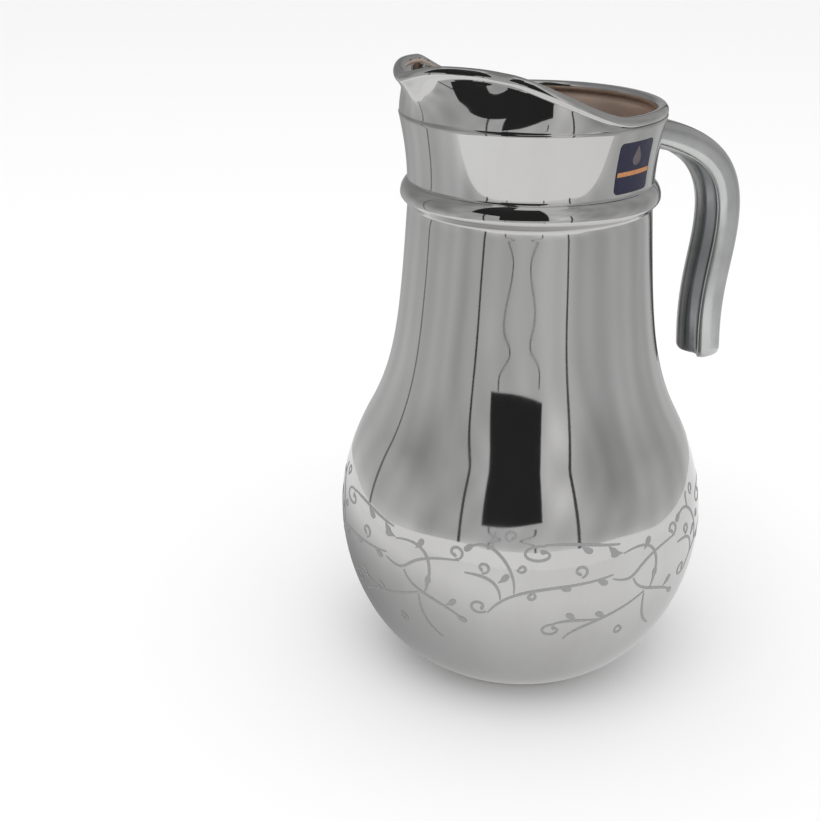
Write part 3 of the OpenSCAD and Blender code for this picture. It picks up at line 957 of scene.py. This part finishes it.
def make_card(name, shade, lows, top, starts, ends, nearest=ROOM_R):
    """A curved dark card just inside the room's wall, between two edges that may lean or sway; it glows
    faintly and only reflections see it, as a painted dark mark in the silver.

    starts and ends are the angles of its two edges from TOWARD_CAMERA, one for each row, and
    lows are the heights of its lower corners. nearest brings it closer to the jug.
    """
    rows, columns = len(starts), 24
    across = np.linspace(0.0, 1.0, columns)
    low = lows[0] + (lows[1] - lows[0]) * across
    verts = []
    for i in range(rows):
        share = i / (rows - 1)
        turns = starts[i] + (ends[i] - starts[i]) * across
        for turn, foot in zip(turns, low):
            angle = TOWARD_CAMERA + math.radians(turn)
            radius = min(nearest, float(room_radius(turn)) - CARD_GAP)
            verts.append((radius * math.cos(angle), radius * math.sin(angle),
                          foot + (top - foot) * share))
    faces = grid_faces(rows, columns, wrap_columns=False)
    mirror_only(new_object(name, verts, faces, plain_material(name, grey(1.0), shade), False))


def make_wall():
    """The wall of the room, glowing and seen only in reflections, with its painted light and shade kept as
    an attribute of its points.
    """
    turns = np.linspace(-180.0, 180.0, 241)
    heights = np.linspace(ROOM_LOW, ROOM_TOP, 40)
    verts, shades = [], []
    for z in heights:
        for turn in turns:
            angle = TOWARD_CAMERA + math.radians(turn)
            radius = float(room_radius(turn))
            verts.append((radius * math.cos(angle), radius * math.sin(angle), z))
            shades.append(float(room_shade(turn, z)))
    faces = grid_faces(len(heights), len(turns), wrap_columns=False)
    material = plain_material("room_wall", grey(1.0), 1.0)
    tree = material.node_tree
    shade = tree.nodes.new("ShaderNodeAttribute")
    shade.attribute_name = "shade"
    shader = tree.nodes["Principled BSDF"]
    tree.links.new(shade.outputs["Fac"], shader.inputs["Emission Strength"])
    wall = new_object("room_wall", verts, faces, material)
    layer = wall.data.attributes.new("shade", "FLOAT", "POINT")
    layer.data.foreach_set("value", shades)
    mirror_only(wall)


def make_table_shade():
    """A painted shadow of the jug on the table, darkest close round the foot and behind the jug, seen only
    in the mirror of the bulb.
    """
    side = TOWARD_CAMERA - TABLE_DARK_TURN
    behind = (TABLE_DARK_R * math.cos(side), TABLE_DARK_R * math.sin(side), 0.0)
    turns = np.linspace(0.0, 2 * math.pi, 97)
    verts = [(r * math.cos(t), r * math.sin(t), TABLE_Z) for r in TABLE_RADII for t in turns]
    faces = grid_faces(2, len(turns), wrap_columns=False, flip=True)
    material = plain_material("table_shade", grey(1.0), 1.0)
    tree = material.node_tree
    coords = tree.nodes.new("ShaderNodeTexCoord")
    away = tree.nodes.new("ShaderNodeVectorMath")
    away.operation = "DISTANCE"
    away.inputs[1].default_value = behind
    tree.links.new(coords.outputs["Object"], away.inputs[0])
    # Painted shadow: dimmest near the point behind the jug, brightening outwards
    fade = tree.nodes.new("ShaderNodeMapRange")
    fade.interpolation_type = "SMOOTHSTEP"
    for key, value in (("From Min", 0.02), ("From Max", 0.22), ("To Min", 0.26), ("To Max", 0.98)):
        fade.inputs[key].default_value = value
    tree.links.new(away.outputs["Value"], fade.inputs["Value"])
    tree.links.new(fade.outputs["Result"], tree.nodes["Principled BSDF"].inputs["Emission Strength"])
    mirror_only(new_object("table_shade", verts, faces, material, False))


def make_ceiling():
    """A soft glowing ceiling over the room, seen only in reflections as a painted reflection."""
    turns = np.linspace(0.0, 2 * math.pi, 65)
    verts = [(r * math.cos(t), r * math.sin(t), ROOM_TOP) for r in (0.001, CEILING_R) for t in turns]
    faces = grid_faces(2, len(turns), wrap_columns=False)
    material = plain_material("ceiling", grey(1.0), CEILING_SHADE)
    mirror_only(new_object("ceiling", verts, faces, material, False))


def make_room():
    """The grey room that the silver mirrors, made of glowing cards that only reflections see, as a painted
    reflection: wall, ceiling, table shadow, frames, doorway and threads.
    """
    make_wall()
    make_ceiling()
    make_table_shade()
    for i, (start, width, shade) in enumerate(FRAMES):
        edge = np.full(2, start)
        make_card(f"frame_{i}", shade, (ROOM_LOW, ROOM_LOW), FRAME_TOP, edge, edge + width)
    left, right = (np.full(2, turn) for turn in DOORWAY)
    make_card("doorway", DOORWAY_SHADE, DOORWAY_LOW, ROOM_TOP, left, right)
    left, right = (np.full(2, turn) for turn in SIDE_CARD)
    make_card("doorway_side", DOORWAY_SHADE, SIDE_CARD_LOW, SIDE_CARD_TOP, left, right, SIDE_CARD_R)
    heights = np.linspace(ROOM_LOW, DOORWAY_LOW[0], 40)
    sway = bell(heights - THREAD_SWAY_Z, THREAD_SWAY_H)
    for i, (start, swing) in enumerate(THREADS):
        path = start + swing * sway
        make_card(f"thread_{i}", THREAD_SHADE, (ROOM_LOW, ROOM_LOW), DOORWAY_LOW[0],
                  path, path + THREAD_WIDTH)


def make_lights():
    world = bpy.data.worlds.new("studio")
    scene.world = world
    world.use_nodes = True
    back = world.node_tree.nodes["Background"]
    back.inputs["Color"].default_value = (1.0, 1.0, 1.0, 1.0)
    back.inputs["Strength"].default_value = 1.0
    data = bpy.data.lights.new("soft_box", "AREA")
    data.shape = "RECTANGLE"
    data.size, data.size_y = 1.6, 1.2
    data.energy = 9.0
    box = bpy.data.objects.new("soft_box", data)
    scene.collection.objects.link(box)
    box.location = (-0.5, -0.5, 2.0)
    aim = Vector((0.0, 0.0, 0.1)) - Vector(box.location)
    box.rotation_euler = aim.to_track_quat("-Z", "Y").to_euler()
    scene.view_settings.view_transform = "Standard"


make_vessel()
make_handle()
make_vines()
make_label()
make_floor()
make_room()
make_lights()
